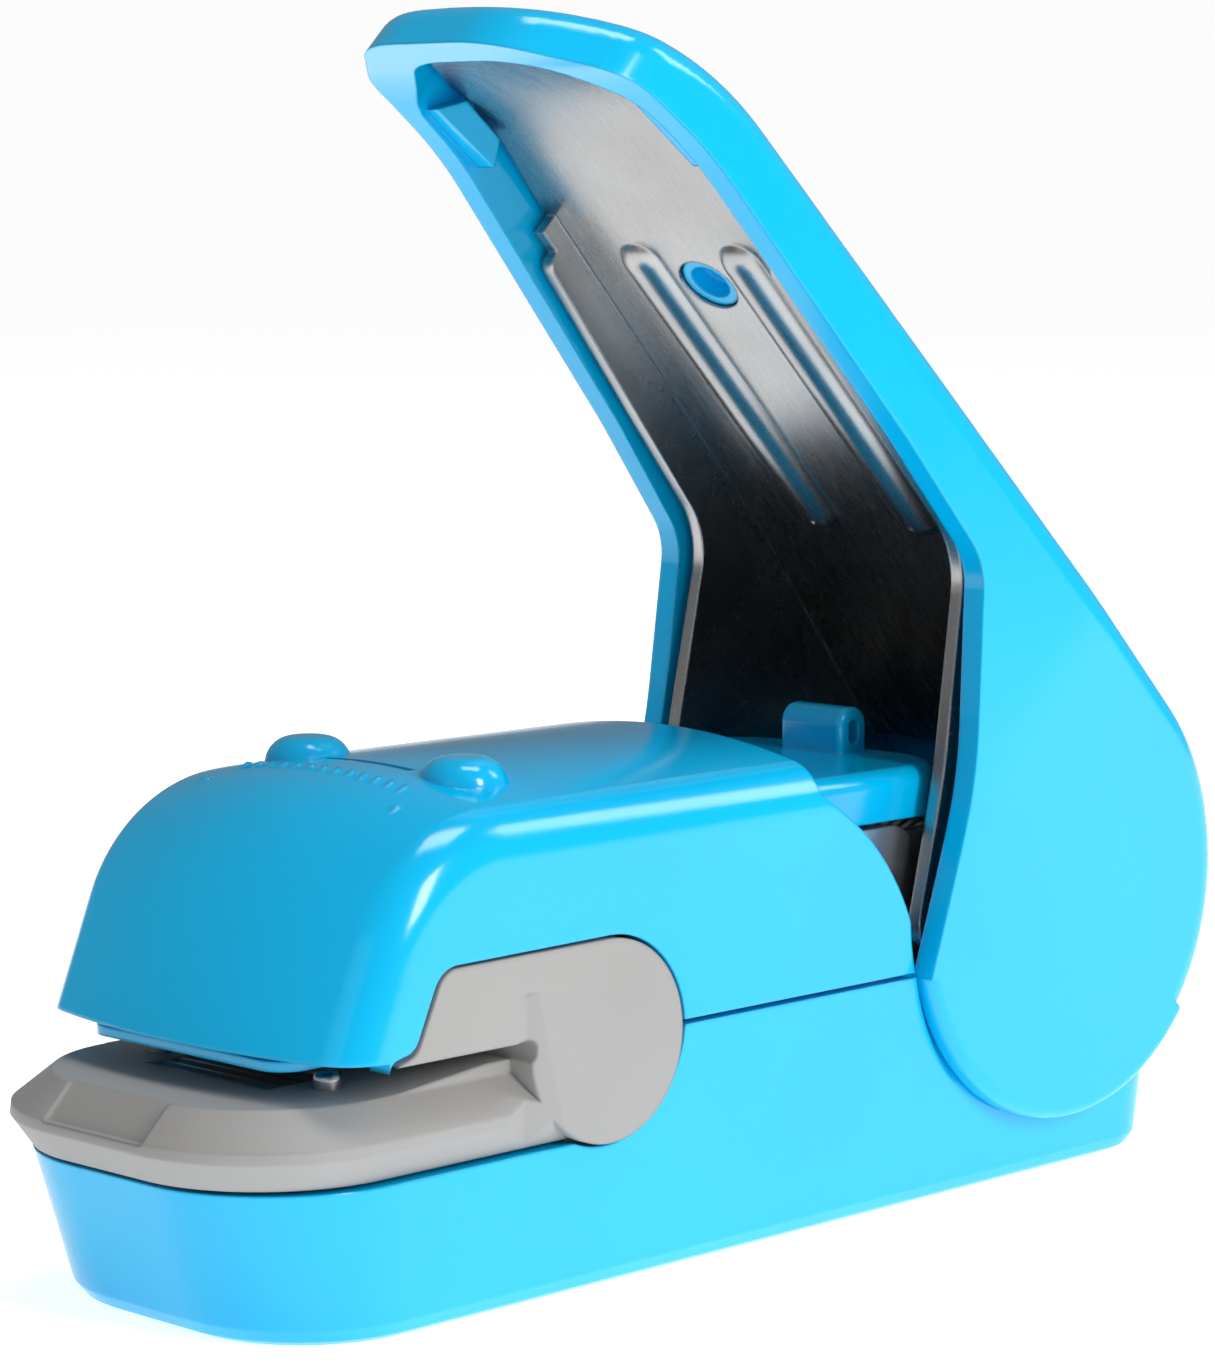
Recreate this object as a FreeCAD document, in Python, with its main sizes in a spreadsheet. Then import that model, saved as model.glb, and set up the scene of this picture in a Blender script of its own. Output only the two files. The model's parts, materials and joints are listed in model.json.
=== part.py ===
import FreeCAD, Part
import Sketcher
import math
import os

# Hand-pressed staple-free stapler, in millimetres.
# X is the width, Y runs from the jaws (-Y) to the hinge (+Y), Z is up.
# The origin is at the centre of the object's box, on the surface that it stands on.
# The handle is raised here; its own frame has the hinge pin at its origin and lies level.

DRIVING_SIZES = [
    ("pin_y", 29.05, "hinge pin of the handle, along the body"),
    ("pin_z", 21.0, "hinge pin of the handle, above the table"),
    ("open_angle", 44.7, "tilt of the raised handle"),
    ("throat_y", -17.25, "axle of the press arm, at the throat of the jaws"),
    ("throat_z", 16.4, "height of that axle"),
    ("body_half", 15.0, "half width of cover and base where they meet"),
    ("foot_half", 13.5, "half width of the base at the table"),
    ("foot_front", 42.75, "front of the base at the table"),
    ("foot_rear", 42.4, "rear of the base at the table, before its rounding"),
    ("rim_front", 48.0, "front of the base carried up to the parting line"),
    ("rim_rear", 43.9, "rear of the base carried up to the parting line"),
    ("deck_z", 10.1, "rim of the base under the jaw"),
    ("parting_z", 16.5, "parting line between base and cover"),
    ("seam", 0.35, "gap along the parting line"),
    ("shell", 1.8, "wall of the moulded covers"),
    ("bay_half", 11.4, "half width of the space for the mechanism"),
    ("web_inner", 13.6, "inner face of the base's web beside the lever's flange"),
    ("web_outer", 14.25, "outer face of that web, inside the handle's cheek"),
    ("disc_radius", 6.6, "round ends of the jaw guide"),
    ("slot_low", 15.1, "top of the lower jaw"),
    ("slot_high", 17.4, "roof of the paper slot"),
    ("slot_depth", 23.55, "end of the paper slot"),
    ("jaw_front", 47.4, "front of the lower jaw"),
    ("crown_z", 33.6, "top of the cover on its centre line"),
    ("crown_radius", 56.0, "crown of the cover across its width"),
    ("lobe_radius", 16.7, "round cheeks of the handle about the pin"),
    ("grip_half", 16.1, "half width of the handle"),
    ("grip_wall", 1.7, "wall of the handle"),
    ("grip_top", 18.4, "back of the handle above the pin"),
    ("grip_length", 75.5, "pin to the tip of the handle"),
    ("nose_radius", 24.0, "droop of the handle's tip"),
    ("nose_start", 58.0, "where that droop begins"),
    ("sheet", 1.2, "steel of the frame and the press arm"),
    ("lever_sheet", 1.0, "steel of the lever in the handle"),
    ("lever_top", 16.2, "outer face of the lever's web above the pin"),
    ("frame_half", 11.2, "half width of the frame"),
    ("frame_floor", 5.0, "underside of the frame's floor"),
    ("frame_top", 26.4, "top of the frame's cheeks"),
    ("arm_half", 8.2, "half width of the press arm"),
    ("pin_radius", 1.6, "hinge pin"),
    ("axle_radius", 2.0, "throat axle"),
    ("drive_radius", 1.25, "drive pin"),
    ("drive_reach", 4.8, "drive pin behind the hinge pin"),
    ("half_stroke", 20.75, "half of the handle's stroke in degrees"),
    ("spring_wire", 0.8, "wire of the return spring"),
    ("spring_coil", 3.0, "mean radius of its coils"),
    ("running", 0.05, "radial clearance of a turning fit"),
    ("block_low", 16.85, "underside of the nose block"),
]

doc = FreeCAD.newDocument("press_stapler")
sheet = doc.addObject("Spreadsheet::Sheet", "Sizes")


class Size:
    """A number now, and the sheet expression that it follows."""

    def __init__(self, value, text):
        self.value = value
        self.text = text

    def __add__(self, other):
        other = size(other)
        return Size(self.value + other.value, "(%s + %s)" % (self.text, other.text))

    def __sub__(self, other):
        other = size(other)
        return Size(self.value - other.value, "(%s - %s)" % (self.text, other.text))

    def __mul__(self, factor):
        return Size(self.value * factor, "(%s * %r)" % (self.text, factor))

    def __neg__(self):
        return self * -1.0

    def __radd__(self, other):
        return size(other) + self

    def __rsub__(self, other):
        return size(other) - self

    __rmul__ = __mul__


def size(value):
    if isinstance(value, Size):
        return value
    return Size(float(value), "%r" % float(value))


def fill_sheet():
    sizes = {}
    for row, (name, value, note) in enumerate(DRIVING_SIZES, start=1):
        sheet.set("A%d" % row, name)
        sheet.set("B%d" % row, repr(value))
        sheet.set("C%d" % row, note)
        sheet.setAlias("B%d" % row, name)
        sizes[name] = Size(value, "Sizes." + name)
    doc.recompute()
    return sizes


D = fill_sheet()


ACROSS = 20.0
FAR = 60.0


# ---------------------------------------------------------------- helpers

def bind(feature, prop, value):
    """Drive one property from the sheet."""
    feature.setExpression(prop, size(value).text)


def new_body(name):
    return doc.addObject("PartDesign::Body", name)


def new_sketch(body, role, offset=0.0):
    """Sketch on one of the body's own origin planes, moved along its normal."""
    sketch = body.newObject("Sketcher::SketchObject", body.Name + "_sketch")
    plane = [item for item in body.Origin.OriginFeatures if item.Role == role][0]
    sketch.AttachmentSupport = [(plane, "")]
    sketch.MapMode = "FlatFace"
    shift = size(offset)
    sketch.AttachmentOffset = FreeCAD.Placement(FreeCAD.Vector(0, 0, shift.value), FreeCAD.Rotation())
    bind(sketch, ".AttachmentOffset.Base.z", shift)
    return sketch


def line(start, end):
    return Part.LineSegment(FreeCAD.Vector(start[0], start[1], 0), FreeCAD.Vector(end[0], end[1], 0))


def corner_arc(before, corner, after, radius):
    """Tangent points and arc of a rounded corner; a sketch wants its arcs counterclockwise."""
    here = FreeCAD.Vector(corner[0], corner[1], 0)
    back = (FreeCAD.Vector(before[0], before[1], 0) - here).normalize()
    ahead = (FreeCAD.Vector(after[0], after[1], 0) - here).normalize()
    half = back.getAngle(ahead) / 2
    first = here + back * (radius / math.tan(half))
    last = here + ahead * (radius / math.tan(half))
    centre = here + (back + ahead).normalize() * (radius / math.sin(half))
    middle = centre + (here - centre).normalize() * radius
    counterclockwise = (here - first).cross(last - here).z > 0
    ends = (first, last) if counterclockwise else (last, first)
    return first, last, Part.Arc(ends[0], middle, ends[1]), counterclockwise


def draw_outline(sketch, corners, closed=True):
    """Lines through the corners, each (x, y) or (x, y, radius)."""
    count = len(corners)
    runs = count if closed else count - 1
    flat = [(size(c[0]).value, size(c[1]).value) for c in corners]
    radii = [c[2] if len(c) > 2 else None for c in corners]
    enter = list(flat)
    leave = list(flat)
    arcs = [None] * count
    ahead = [True] * count
    for i, radius in enumerate(radii):
        if radius is None:
            continue
        first, last, arcs[i], ahead[i] = corner_arc(
            flat[i - 1], flat[i], flat[(i + 1) % count], size(radius).value)
        enter[i] = (first.x, first.y)
        leave[i] = (last.x, last.y)
    lines = [sketch.addGeometry(line(leave[i], enter[(i + 1) % count]), False) for i in range(runs)]
    if not closed:
        place_vertex(sketch, lines[0], 1, corners[0])
        place_vertex(sketch, lines[-1], 2, corners[-1])
    for i in range(0 if closed else 1, runs):
        following = lines[i]
        previous = lines[i - 1]
        if arcs[i] is None:
            sketch.addConstraint(Sketcher.Constraint("Coincident", previous, 2, following, 1))
            place_vertex(sketch, following, 1, corners[i])
            continue
        arc = sketch.addGeometry(arcs[i], False)
        near, far = (1, 2) if ahead[i] else (2, 1)
        sketch.addConstraint(Sketcher.Constraint("Tangent", previous, 2, arc, near))
        sketch.addConstraint(Sketcher.Constraint("Tangent", following, 1, arc, far))
        index = sketch.addConstraint(Sketcher.Constraint("Radius", arc, size(radii[i]).value))
        bind(sketch, "Constraints[%d]" % index, radii[i])
        vertex = sketch.addGeometry(Part.Point(FreeCAD.Vector(flat[i][0], flat[i][1], 0)), True)
        sketch.addConstraint(Sketcher.Constraint("PointOnObject", vertex, 1, previous))
        sketch.addConstraint(Sketcher.Constraint("PointOnObject", vertex, 1, following))
        place_vertex(sketch, vertex, 1, corners[i])


def place_vertex(sketch, geometry, point, corner):
    """Hold one vertex at its distances from the sketch's origin."""
    for kind, coordinate in (("DistanceX", corner[0]), ("DistanceY", corner[1])):
        index = sketch.addConstraint(
            Sketcher.Constraint(kind, -1, 1, geometry, point, size(coordinate).value))
        bind(sketch, "Constraints[%d]" % index, coordinate)


def draw_circle(sketch, x, y, radius):
    x, y, radius = size(x), size(y), size(radius)
    centre = FreeCAD.Vector(x.value, y.value, 0)
    circle = sketch.addGeometry(Part.Circle(centre, FreeCAD.Vector(0, 0, 1), radius.value), False)
    index = sketch.addConstraint(Sketcher.Constraint("Radius", circle, radius.value))
    bind(sketch, "Constraints[%d]" % index, radius)
    place_vertex(sketch, circle, 3, (x, y))


def add_pad(body, sketch, length, symmetric=False):
    pad = body.newObject("PartDesign::Pad", body.Name + "_pad")
    pad.Profile = sketch
    bind(pad, "Length", length)
    pad.SideType = "Symmetric" if symmetric else "One side"
    return pad


def add_pocket(body, sketch, length, symmetric=False, reverse=False):
    """Pocket that must take material away."""
    doc.recompute()
    before = body.Shape.Volume
    pocket = body.newObject("PartDesign::Pocket", body.Name + "_pocket")
    pocket.Profile = sketch
    bind(pocket, "Length", length)
    pocket.SideType = "Symmetric" if symmetric else "One side"
    pocket.Reversed = reverse
    doc.recompute()
    if body.Shape.Volume > before - 0.01:
        raise ValueError("pocket in %s cuts nothing" % body.Name)
    return pocket


def side_prism(name, corners, half, start=None):
    """Outline in the side view (Y, Z), across the middle or from one X outwards."""
    body = new_body(name)
    if start is None:
        sketch = new_sketch(body, "YZ_Plane")
        draw_outline(sketch, corners)
        add_pad(body, sketch, 2 * size(half), symmetric=True)
    else:
        sketch = new_sketch(body, "YZ_Plane", start)
        draw_outline(sketch, corners)
        add_pad(body, sketch, half)
    return body


def side_disc(name, y, z, radius, half, start=None):
    """Round bar across the middle, or a disc from one X outwards."""
    body = new_body(name)
    sketch = new_sketch(body, "YZ_Plane", 0.0 if start is None else start)
    draw_circle(sketch, y, z, radius)
    if start is None:
        add_pad(body, sketch, 2 * size(half), symmetric=True)
    else:
        add_pad(body, sketch, half)
    return body


def plan_prism(name, corners, low, high):
    """Outline in the plan view (X, Y) between two heights."""
    body = new_body(name)
    sketch = new_sketch(body, "XY_Plane", low)
    draw_outline(sketch, corners)
    add_pad(body, sketch, size(high) - size(low))
    return body


def upright_bar(name, x, y, radius, low, high):
    body = new_body(name)
    sketch = new_sketch(body, "XY_Plane", low)
    draw_circle(sketch, x, y, radius)
    add_pad(body, sketch, size(high) - size(low))
    return body


def mirrored(name, source):
    """The same piece on the other side of the middle plane."""
    copy = doc.addObject("Part::Mirroring", name)
    copy.Source = source
    copy.Normal = FreeCAD.Vector(1, 0, 0)
    return copy


def cut(name, base, *tools):
    for number, tool in enumerate(tools):
        step = doc.addObject("Part::Cut", name if number == len(tools) - 1 else name + "_step")
        step.Base = base
        step.Tool = tool
        step.Refine = True
        base = step
    doc.recompute()
    return base


def fuse(name, *pieces):
    joined = doc.addObject("Part::MultiFuse", name)
    joined.Shapes = list(pieces)
    joined.Refine = True
    doc.recompute()
    return joined


def common(name, first, second):
    kept = doc.addObject("Part::Common", name)
    kept.Base = first
    kept.Tool = second
    kept.Refine = True
    doc.recompute()
    return kept


def group(name, pieces):
    """Separate solids that share one node."""
    compound = doc.addObject("Part::Compound", name)
    compound.Links = list(pieces)
    doc.recompute()
    return compound


def round_edges(name, base, radius, wanted):
    """Round the edges that the test picks."""
    doc.recompute()
    picked = [n for n, edge in enumerate(base.Shape.Edges, start=1) if wanted(edge)]
    if not picked:
        raise ValueError("no edge to round in " + base.Name)
    fillet = doc.addObject("Part::Fillet", name)
    fillet.Base = base
    fillet.Edges = [(n, radius, radius) for n in picked]
    doc.recompute()
    return fillet


def tilt_with_handle(piece):
    """Stand a piece of the handle's own frame on the pin, raised."""
    piece.Placement = FreeCAD.Placement(
        FreeCAD.Vector(0, D["pin_y"].value, D["pin_z"].value),
        FreeCAD.Rotation(FreeCAD.Vector(1, 0, 0), -D["open_angle"].value))
    bind(piece, ".Placement.Base.y", D["pin_y"])
    bind(piece, ".Placement.Base.z", D["pin_z"])
    bind(piece, ".Placement.Rotation.Angle", D["open_angle"])
    piece.setExpression(".Placement.Rotation.Axis.x", "-1")
    return piece


nodes = []


def node(piece, label):
    piece.Label = label
    nodes.append(piece)
    return piece


# ---------------------------------------------------------------- base

def rounded_nose(half, front, rear, nose_round, tail_round):
    """Plan of a shell: rounded at the front and the rear corners."""
    return [(-half, -front, nose_round), (half, -front, nose_round),
            (half, rear, tail_round), (-half, rear, tail_round)]


def lofted(name, stations):
    """Straight-sided loft through plan outlines at several heights."""
    body = new_body(name)
    sketches = []
    for height, corners in stations:
        sketch = new_sketch(body, "XY_Plane", height)
        draw_outline(sketch, corners)
        sketches.append(sketch)
    loft = body.newObject("PartDesign::AdditiveLoft", name + "_loft")
    loft.Profile = sketches[0]
    loft.Sections = sketches[1:]
    loft.Ruled = True
    doc.recompute()
    return body


def base_outline(height, inset):
    """Plan of the base's flared wall at one height, set in for the rounding of its lower edge."""
    share = height / D["parting_z"].value
    half = D["foot_half"] + (D["body_half"] - D["foot_half"]) * share - inset
    front = D["foot_front"] + (D["rim_front"] - D["foot_front"]) * share - inset
    rear = D["foot_rear"] + (D["rim_rear"] - D["foot_rear"]) * share - inset
    return rounded_nose(half, front, rear, 9.5 + 1.5 * share - inset, 5.0 + share - inset)


def make_base_shell():
    levels = [(0.0, 1.0), (0.35, 0.42), (1.2, 0.0), (D["parting_z"].value, 0.0)]
    block = lofted("base_block", [(height, base_outline(height, inset)) for height, inset in levels])
    heel_side = side_prism("base_heel_side", [
        (-FAR, 0.0), (D["foot_rear"], 0.0, 6.8), (D["rim_rear"], D["parting_z"] + 2.0),
        (-FAR, D["parting_z"] + 2.0)], ACROSS)
    heel = common("base_heel", block, heel_side)
    deck = side_prism("base_deck_cut", [
        (-FAR, D["deck_z"]), (D["throat_y"] - 2.5, D["deck_z"]), (D["throat_y"] - 2.5, 30.0),
        (-FAR, 30.0)], ACROSS)
    throat = side_disc("base_throat_cut", D["throat_y"], D["throat_z"], D["disc_radius"] + 0.25, ACROSS)
    sweep = side_disc("base_lever_sweep", D["pin_y"], D["pin_z"], D["lobe_radius"] - 1.4, D["web_inner"])
    recess = side_disc("base_cheek_recess", D["pin_y"], D["pin_z"], D["lobe_radius"] + 0.3, 4.0,
                       start=D["web_outer"])
    notches = [sweep, recess, mirrored("base_cheek_recess_far", recess)]
    stern = side_prism("base_stern_cut", [
        (D["pin_y"], 8.6), (FAR, 8.6), (FAR, 30.0), (D["pin_y"], 30.0)], ACROSS)
    bay = plan_prism("base_bay", [
        (-D["bay_half"], -41.0, 7.0), (D["bay_half"], -41.0, 7.0),
        (D["bay_half"], 40.4, 2.0), (-D["bay_half"], 40.4, 2.0)], 1.8, 30.0)
    shell = cut("base_open", heel, deck, throat, *notches, stern, bay)
    bosses = [upright_bar("base_boss_%d" % n, x, y, 2.8, 1.2, 5.0)
              for n, (x, y) in enumerate(SCREW_PLACES)]
    filled = fuse("base_bossed", shell, *bosses)
    bores = []
    for n, (x, y) in enumerate(SCREW_PLACES):
        bores.append(upright_bar("base_bore_%d" % n, x, y, 1.15, -1.0, 6.0))
        bores.append(upright_bar("base_head_bore_%d" % n, x, y, 2.3, -1.0, 2.2))
    return node(cut("base_shell_solid", filled, *bores), "base_shell")


SCREW_PLACES = [(-7.0, -28.0), (7.0, -28.0), (0.0, 22.0)]
SEAT_X = (-3.5, 3.5)
SEAT_Y = -35.5


def make_base_screws():
    head_low = 0.8
    head_high = 2.2
    head_radius = 2.1
    shank_radius = 1.0
    tip = 6.1
    recess_reach = 1.3
    recess_half = 0.28
    recess_depth = 0.8
    screws = []
    for n, (x, y) in enumerate(SCREW_PLACES):
        body = new_body("base_screw_%d" % n)
        sketch = new_sketch(body, "XY_Plane", head_low)
        draw_circle(sketch, x, y, head_radius)
        add_pad(body, sketch, head_high - head_low)
        shank = new_sketch(body, "XY_Plane", head_high - 0.2)
        draw_circle(shank, x, y, shank_radius)
        add_pad(body, shank, tip - head_high + 0.2)
        drive = new_sketch(body, "XY_Plane", head_low)
        draw_outline(drive, cross_outline(x, y, recess_reach, recess_half))
        add_pocket(body, drive, recess_depth, reverse=True)
        screws.append(body)
    return node(group("base_screw_set", screws), "base_screws")


def cross_outline(x, y, reach, half):
    """Outline of a cross recess."""
    return [(x - half, y - reach), (x + half, y - reach), (x + half, y - half), (x + reach, y - half),
            (x + reach, y + half), (x + half, y + half), (x + half, y + reach), (x - half, y + reach),
            (x - half, y + half), (x - reach, y + half), (x - reach, y - half), (x - half, y - half)]


def make_steel_frame():
    floor = plan_prism("frame_floor", [
        (-6.0, -40.5, 1.5), (6.0, -40.5, 1.5), (6.0, -33.0), (D["frame_half"], -30.0),
        (D["frame_half"], 36.0), (-D["frame_half"], 36.0), (-D["frame_half"], -30.0), (-6.0, -33.0)],
        D["frame_floor"], D["frame_floor"] + D["sheet"])
    floor_z = D["frame_floor"]
    top = D["frame_top"]
    profile = [
        (D["throat_y"] - 3.4, floor_z), (D["throat_y"] - 3.4, 20.6, 3.0), (-13.0, 20.6, 3.0),
        (-6.5, top, 3.0), (16.9, top, 2.6), (17.1, 17.4, 2.0), (22.0, 17.4, 2.0),
        (22.6, top, 4.0), (37.6, top, 5.0), (37.6, 9.0, 3.0), (35.0, floor_z)]
    inner = D["frame_half"] - D["sheet"]
    left = side_prism("frame_cheek", profile, D["sheet"], start=inner)
    walls = [left, mirrored("frame_cheek_far", left)]
    frame = fuse("frame_folded", floor, *walls)
    pin = side_disc("frame_pin_bore", D["pin_y"], D["pin_z"], D["pin_radius"], ACROSS)
    axle = side_disc("frame_axle_bore", D["throat_y"], D["throat_z"], D["axle_radius"], ACROSS)
    rear = D["pin_y"] + D["drive_reach"]
    window = side_prism("frame_drive_window", [
        (rear - 2.0, 17.3, 1.2), (rear + 1.7, 17.3, 1.2), (rear + 1.7, 24.7, 1.2),
        (rear - 2.0, 24.7, 1.2)], ACROSS)
    places = SCREW_PLACES + [(x, SEAT_Y) for x in SEAT_X]
    bores = [upright_bar("frame_screw_bore_%d" % n, x, y, 1.0, 4.0, 8.0)
             for n, (x, y) in enumerate(places)]
    return node(cut("frame_pierced", frame, pin, axle, window, *bores), "steel_frame")


# ---------------------------------------------------------------- jaws

def jaw_plan(half, front, rounding):
    rear = D["throat_y"]
    return [(-half, -front, rounding), (half, -front, rounding), (half, rear), (-half, rear)]


def make_jaw_guide():
    front = D["jaw_front"]
    lower = lofted("jaw_lower", [
        (D["deck_z"] + 0.3, jaw_plan(13.9, front - 1.2, 10.0)),
        (12.3, jaw_plan(D["body_half"] - 0.1, front, 10.5)),
        (13.0, jaw_plan(D["body_half"] - 0.1, front - 0.1, 10.5)),
        (D["slot_low"], jaw_plan(12.5, front - 2.0, 9.5))])
    disc = side_disc("jaw_disc", D["throat_y"], D["throat_z"], D["disc_radius"], D["body_half"])
    lip = side_prism("jaw_lip", [
        (-35.7, D["slot_high"]), (-34.0, 17.9, 1.4), (-31.7, 22.85, 1.8), (D["throat_y"], 23.0),
        (D["throat_y"], D["slot_high"] - 1.0), (-35.7, D["slot_high"] - 1.0)], D["body_half"])
    floor_line = [(-33.5, D["slot_low"], ACROSS), (-26.0, D["slot_low"] + JAW_RISE, 4.0)]
    ramp = side_prism("jaw_ramp", [(-36.0, D["slot_low"])] + floor_line + [
        (D["throat_y"] - 4.0, D["slot_low"] + JAW_RISE), (D["throat_y"] - 4.0, 12.0), (-36.0, 12.0)], 12.6)
    whole = fuse("jaw_whole", lower, disc, lip, ramp)
    slot = side_prism("jaw_slot", [(-FAR, D["slot_low"]), (-36.0, D["slot_low"])] + floor_line + [
        (-D["slot_depth"], D["slot_low"] + JAW_RISE, 0.5), (-D["slot_depth"], D["slot_high"], 0.5),
        (-FAR, D["slot_high"])], ACROSS)
    channel = side_prism("jaw_channel", [
        (D["throat_y"] - 4.6, 6.0), (0.0, 6.0), (0.0, 30.0), (D["throat_y"] - 4.6, 30.0)], D["bay_half"])
    nose_bay = side_prism("jaw_nose_bay", [
        (-FAR, D["slot_high"] - 0.5), (-D["slot_depth"] + 0.9, D["slot_high"] - 0.5),
        (-D["slot_depth"] + 0.9, D["slot_high"] + 0.3), (D["throat_y"] - 4.0, D["slot_high"] + 0.3),
        (D["throat_y"] - 4.0, 30.0), (-FAR, 30.0)], 9.9)
    die_window = plan_prism("jaw_die_window", [
        (-5.8, -38.2), (5.8, -38.2), (5.8, -32.8), (-5.8, -32.8)], 8.0, 20.0)
    mark = side_prism("jaw_mark_cut", [
        (-50.0, 12.9), (-46.75, 12.9), (-44.4, 15.5), (-50.0, 15.5)], 4.8)
    sockets = [upright_bar("jaw_post_bore_%d" % n, x, POST_Y, 0.9, 12.0, 20.0) for n, x in enumerate(POST_X)]
    cleared = cut("jaw_cleared", whole, slot, channel, nose_bay, die_window, mark, *sockets)
    scoop = lofted("jaw_scoop", [
        (9.0, [(15.4, -28.0), (13.9, -24.0), (15.4, -19.6)]),
        (20.4, [(15.4, -26.4), (14.75, -24.4), (15.4, -22.6)])])
    return node(cut("jaw_guide_solid", cleared, scoop, mirrored("jaw_scoop_far", scoop)), "jaw_guide")


JAW_RISE = 0.8
DIE_SCREW_Y = -32.4
POST_X = (-8.1, 8.1)
POST_Y = -35.2


def toothed_block(name, low, high, half, front, rear, teeth_up):
    """Die with a row of vee teeth running across it."""
    body = plan_prism(name, [(-half, front), (half, front), (half, rear), (-half, rear)], low, high)
    count = 4
    pitch = (rear - front) / count
    groove = new_sketch(body, "YZ_Plane")
    face = size(high) if teeth_up else size(low)
    depth = -0.45 if teeth_up else 0.45
    draw_outline(groove, [
        (front + 0.1 * pitch, face), (front + 0.5 * pitch, face + depth), (front + 0.9 * pitch, face)])
    pocket = add_pocket(body, groove, 2 * half + 1.0, symmetric=True)
    pattern = body.newObject("PartDesign::LinearPattern", name + "_teeth")
    pattern.Originals = [pocket]
    pattern.Direction = (body.Origin.OriginFeatures[1], [""])
    pattern.Length = pitch * (count - 1)
    pattern.Occurrences = count
    body.Tip = pattern
    doc.recompute()
    return body


def make_dies():
    seat = D["frame_floor"] + D["sheet"]
    lower = toothed_block("lower_die_body", seat, D["slot_low"] - 0.05, 5.6, -38.0, -33.0, True)
    upper = toothed_block("upper_die_body", D["block_low"] + 0.05, 18.4, 5.2, -37.4, -33.6, False)
    bores = [upright_bar("lower_die_bore_%d" % n, x, SEAT_Y, 0.85, 3.0, 9.5) for n, x in enumerate(SEAT_X)]
    node(cut("lower_die_solid", lower, *bores), "lower_die")
    node(upper, "upper_die")


def make_seat_screws():
    """Screws up through the frame's floor into the lower die."""
    head_radius = 1.6
    head_height = 1.1
    shank_radius = 0.8
    tip = 9.2
    head_low = D["frame_floor"] - head_height
    screws = []
    for n, x in enumerate(SEAT_X):
        body = new_body("seat_screw_%d" % n)
        head = new_sketch(body, "XY_Plane", head_low)
        draw_circle(head, x, SEAT_Y, head_radius)
        add_pad(body, head, head_height)
        shank = new_sketch(body, "XY_Plane", D["frame_floor"] - 0.1)
        draw_circle(shank, x, SEAT_Y, shank_radius)
        add_pad(body, shank, tip - D["frame_floor"] + 0.1)
        screws.append(body)
    return node(group("seat_screw_pair", screws), "seat_screws")


def make_guide_posts():
    """Posts that centre the sheets under the nose block."""
    posts = []
    for n, x in enumerate(POST_X):
        post = upright_bar("guide_post_%d_body" % n, x, POST_Y, 0.9, 12.0, 16.2)
        doc.recompute()
        posts.append(round_edges("guide_post_%d" % n, post, 0.5, lambda edge: edge.BoundBox.ZMin > 16.1))
    return node(group("guide_post_pair", posts), "guide_posts")


def make_press_arm():
    profile = [
        (-37.4, 18.4), (-36.9, 20.0, 1.2), (-33.0, 25.0, 4.0), (-22.0, 27.6, 8.0), (-3.0, 27.6, 8.0),
        (19.0, 25.2, 6.0), (36.5, 25.2, 3.0), (36.5, 14.0, 3.0), (24.0, 14.0, 4.0), (6.0, 18.0, 12.0),
        (-9.5, 11.6, 5.0), (-21.2, 11.9, 3.0), (-21.2, 18.4, 1.0)]
    inner = D["arm_half"] - D["sheet"]
    near = side_prism("arm_cheek", profile, D["sheet"], start=inner)
    bridge = side_prism("arm_bridge", [
        (-21.0, 26.2), (-3.0, 26.2), (-3.0, 27.4), (-21.0, 27.4)], D["arm_half"] - 0.2)
    seat = side_prism("arm_seat", [
        (-37.4, 18.4), (-31.0, 18.4), (-31.0, 19.6), (-37.0, 19.6)], D["arm_half"] - 0.2)
    arm = fuse("arm_folded", near, mirrored("arm_cheek_far", near), bridge, seat)
    axle = side_disc("arm_axle_bore", D["throat_y"], D["throat_z"], D["axle_radius"] + D["running"], ACROSS)
    reach = D["pin_radius"] + 0.35
    hinge_window = side_prism("arm_hinge_window", [
        (D["pin_y"] - reach, D["pin_z"] - 5.4, 1.5), (D["pin_y"] + reach, D["pin_z"] - 5.4, 1.5),
        (D["pin_y"] + reach, D["pin_z"] + 2.1, 1.5), (D["pin_y"] - reach, D["pin_z"] + 2.1, 1.5)], ACROSS)
    drive_y, drive_z = drive_pin_place()
    drive_window = side_prism("arm_drive_window", [
        (drive_y - 1.5, drive_z - 1.5, 1.3), (drive_y + 2.0, drive_z - 1.5, 1.3),
        (drive_y + 2.0, drive_z + 1.5, 1.3), (drive_y - 1.5, drive_z + 1.5, 1.3)], ACROSS)
    screw = upright_bar("arm_screw_bore", 0.0, DIE_SCREW_Y, 0.9, 17.0, 21.0)
    return node(cut("arm_pierced", arm, axle, hinge_window, drive_window, screw), "press_arm")


def drive_pin_place():
    """Drive pin with the handle raised, half a stroke below its level position."""
    angle = math.radians(D["half_stroke"].value)
    y = D["pin_y"] + Size(D["drive_reach"].value * math.cos(angle),
                          "(Sizes.drive_reach * cos(Sizes.half_stroke * 1 deg))")
    z = D["pin_z"] - Size(D["drive_reach"].value * math.sin(angle),
                          "(Sizes.drive_reach * sin(Sizes.half_stroke * 1 deg))")
    return y, z


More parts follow.
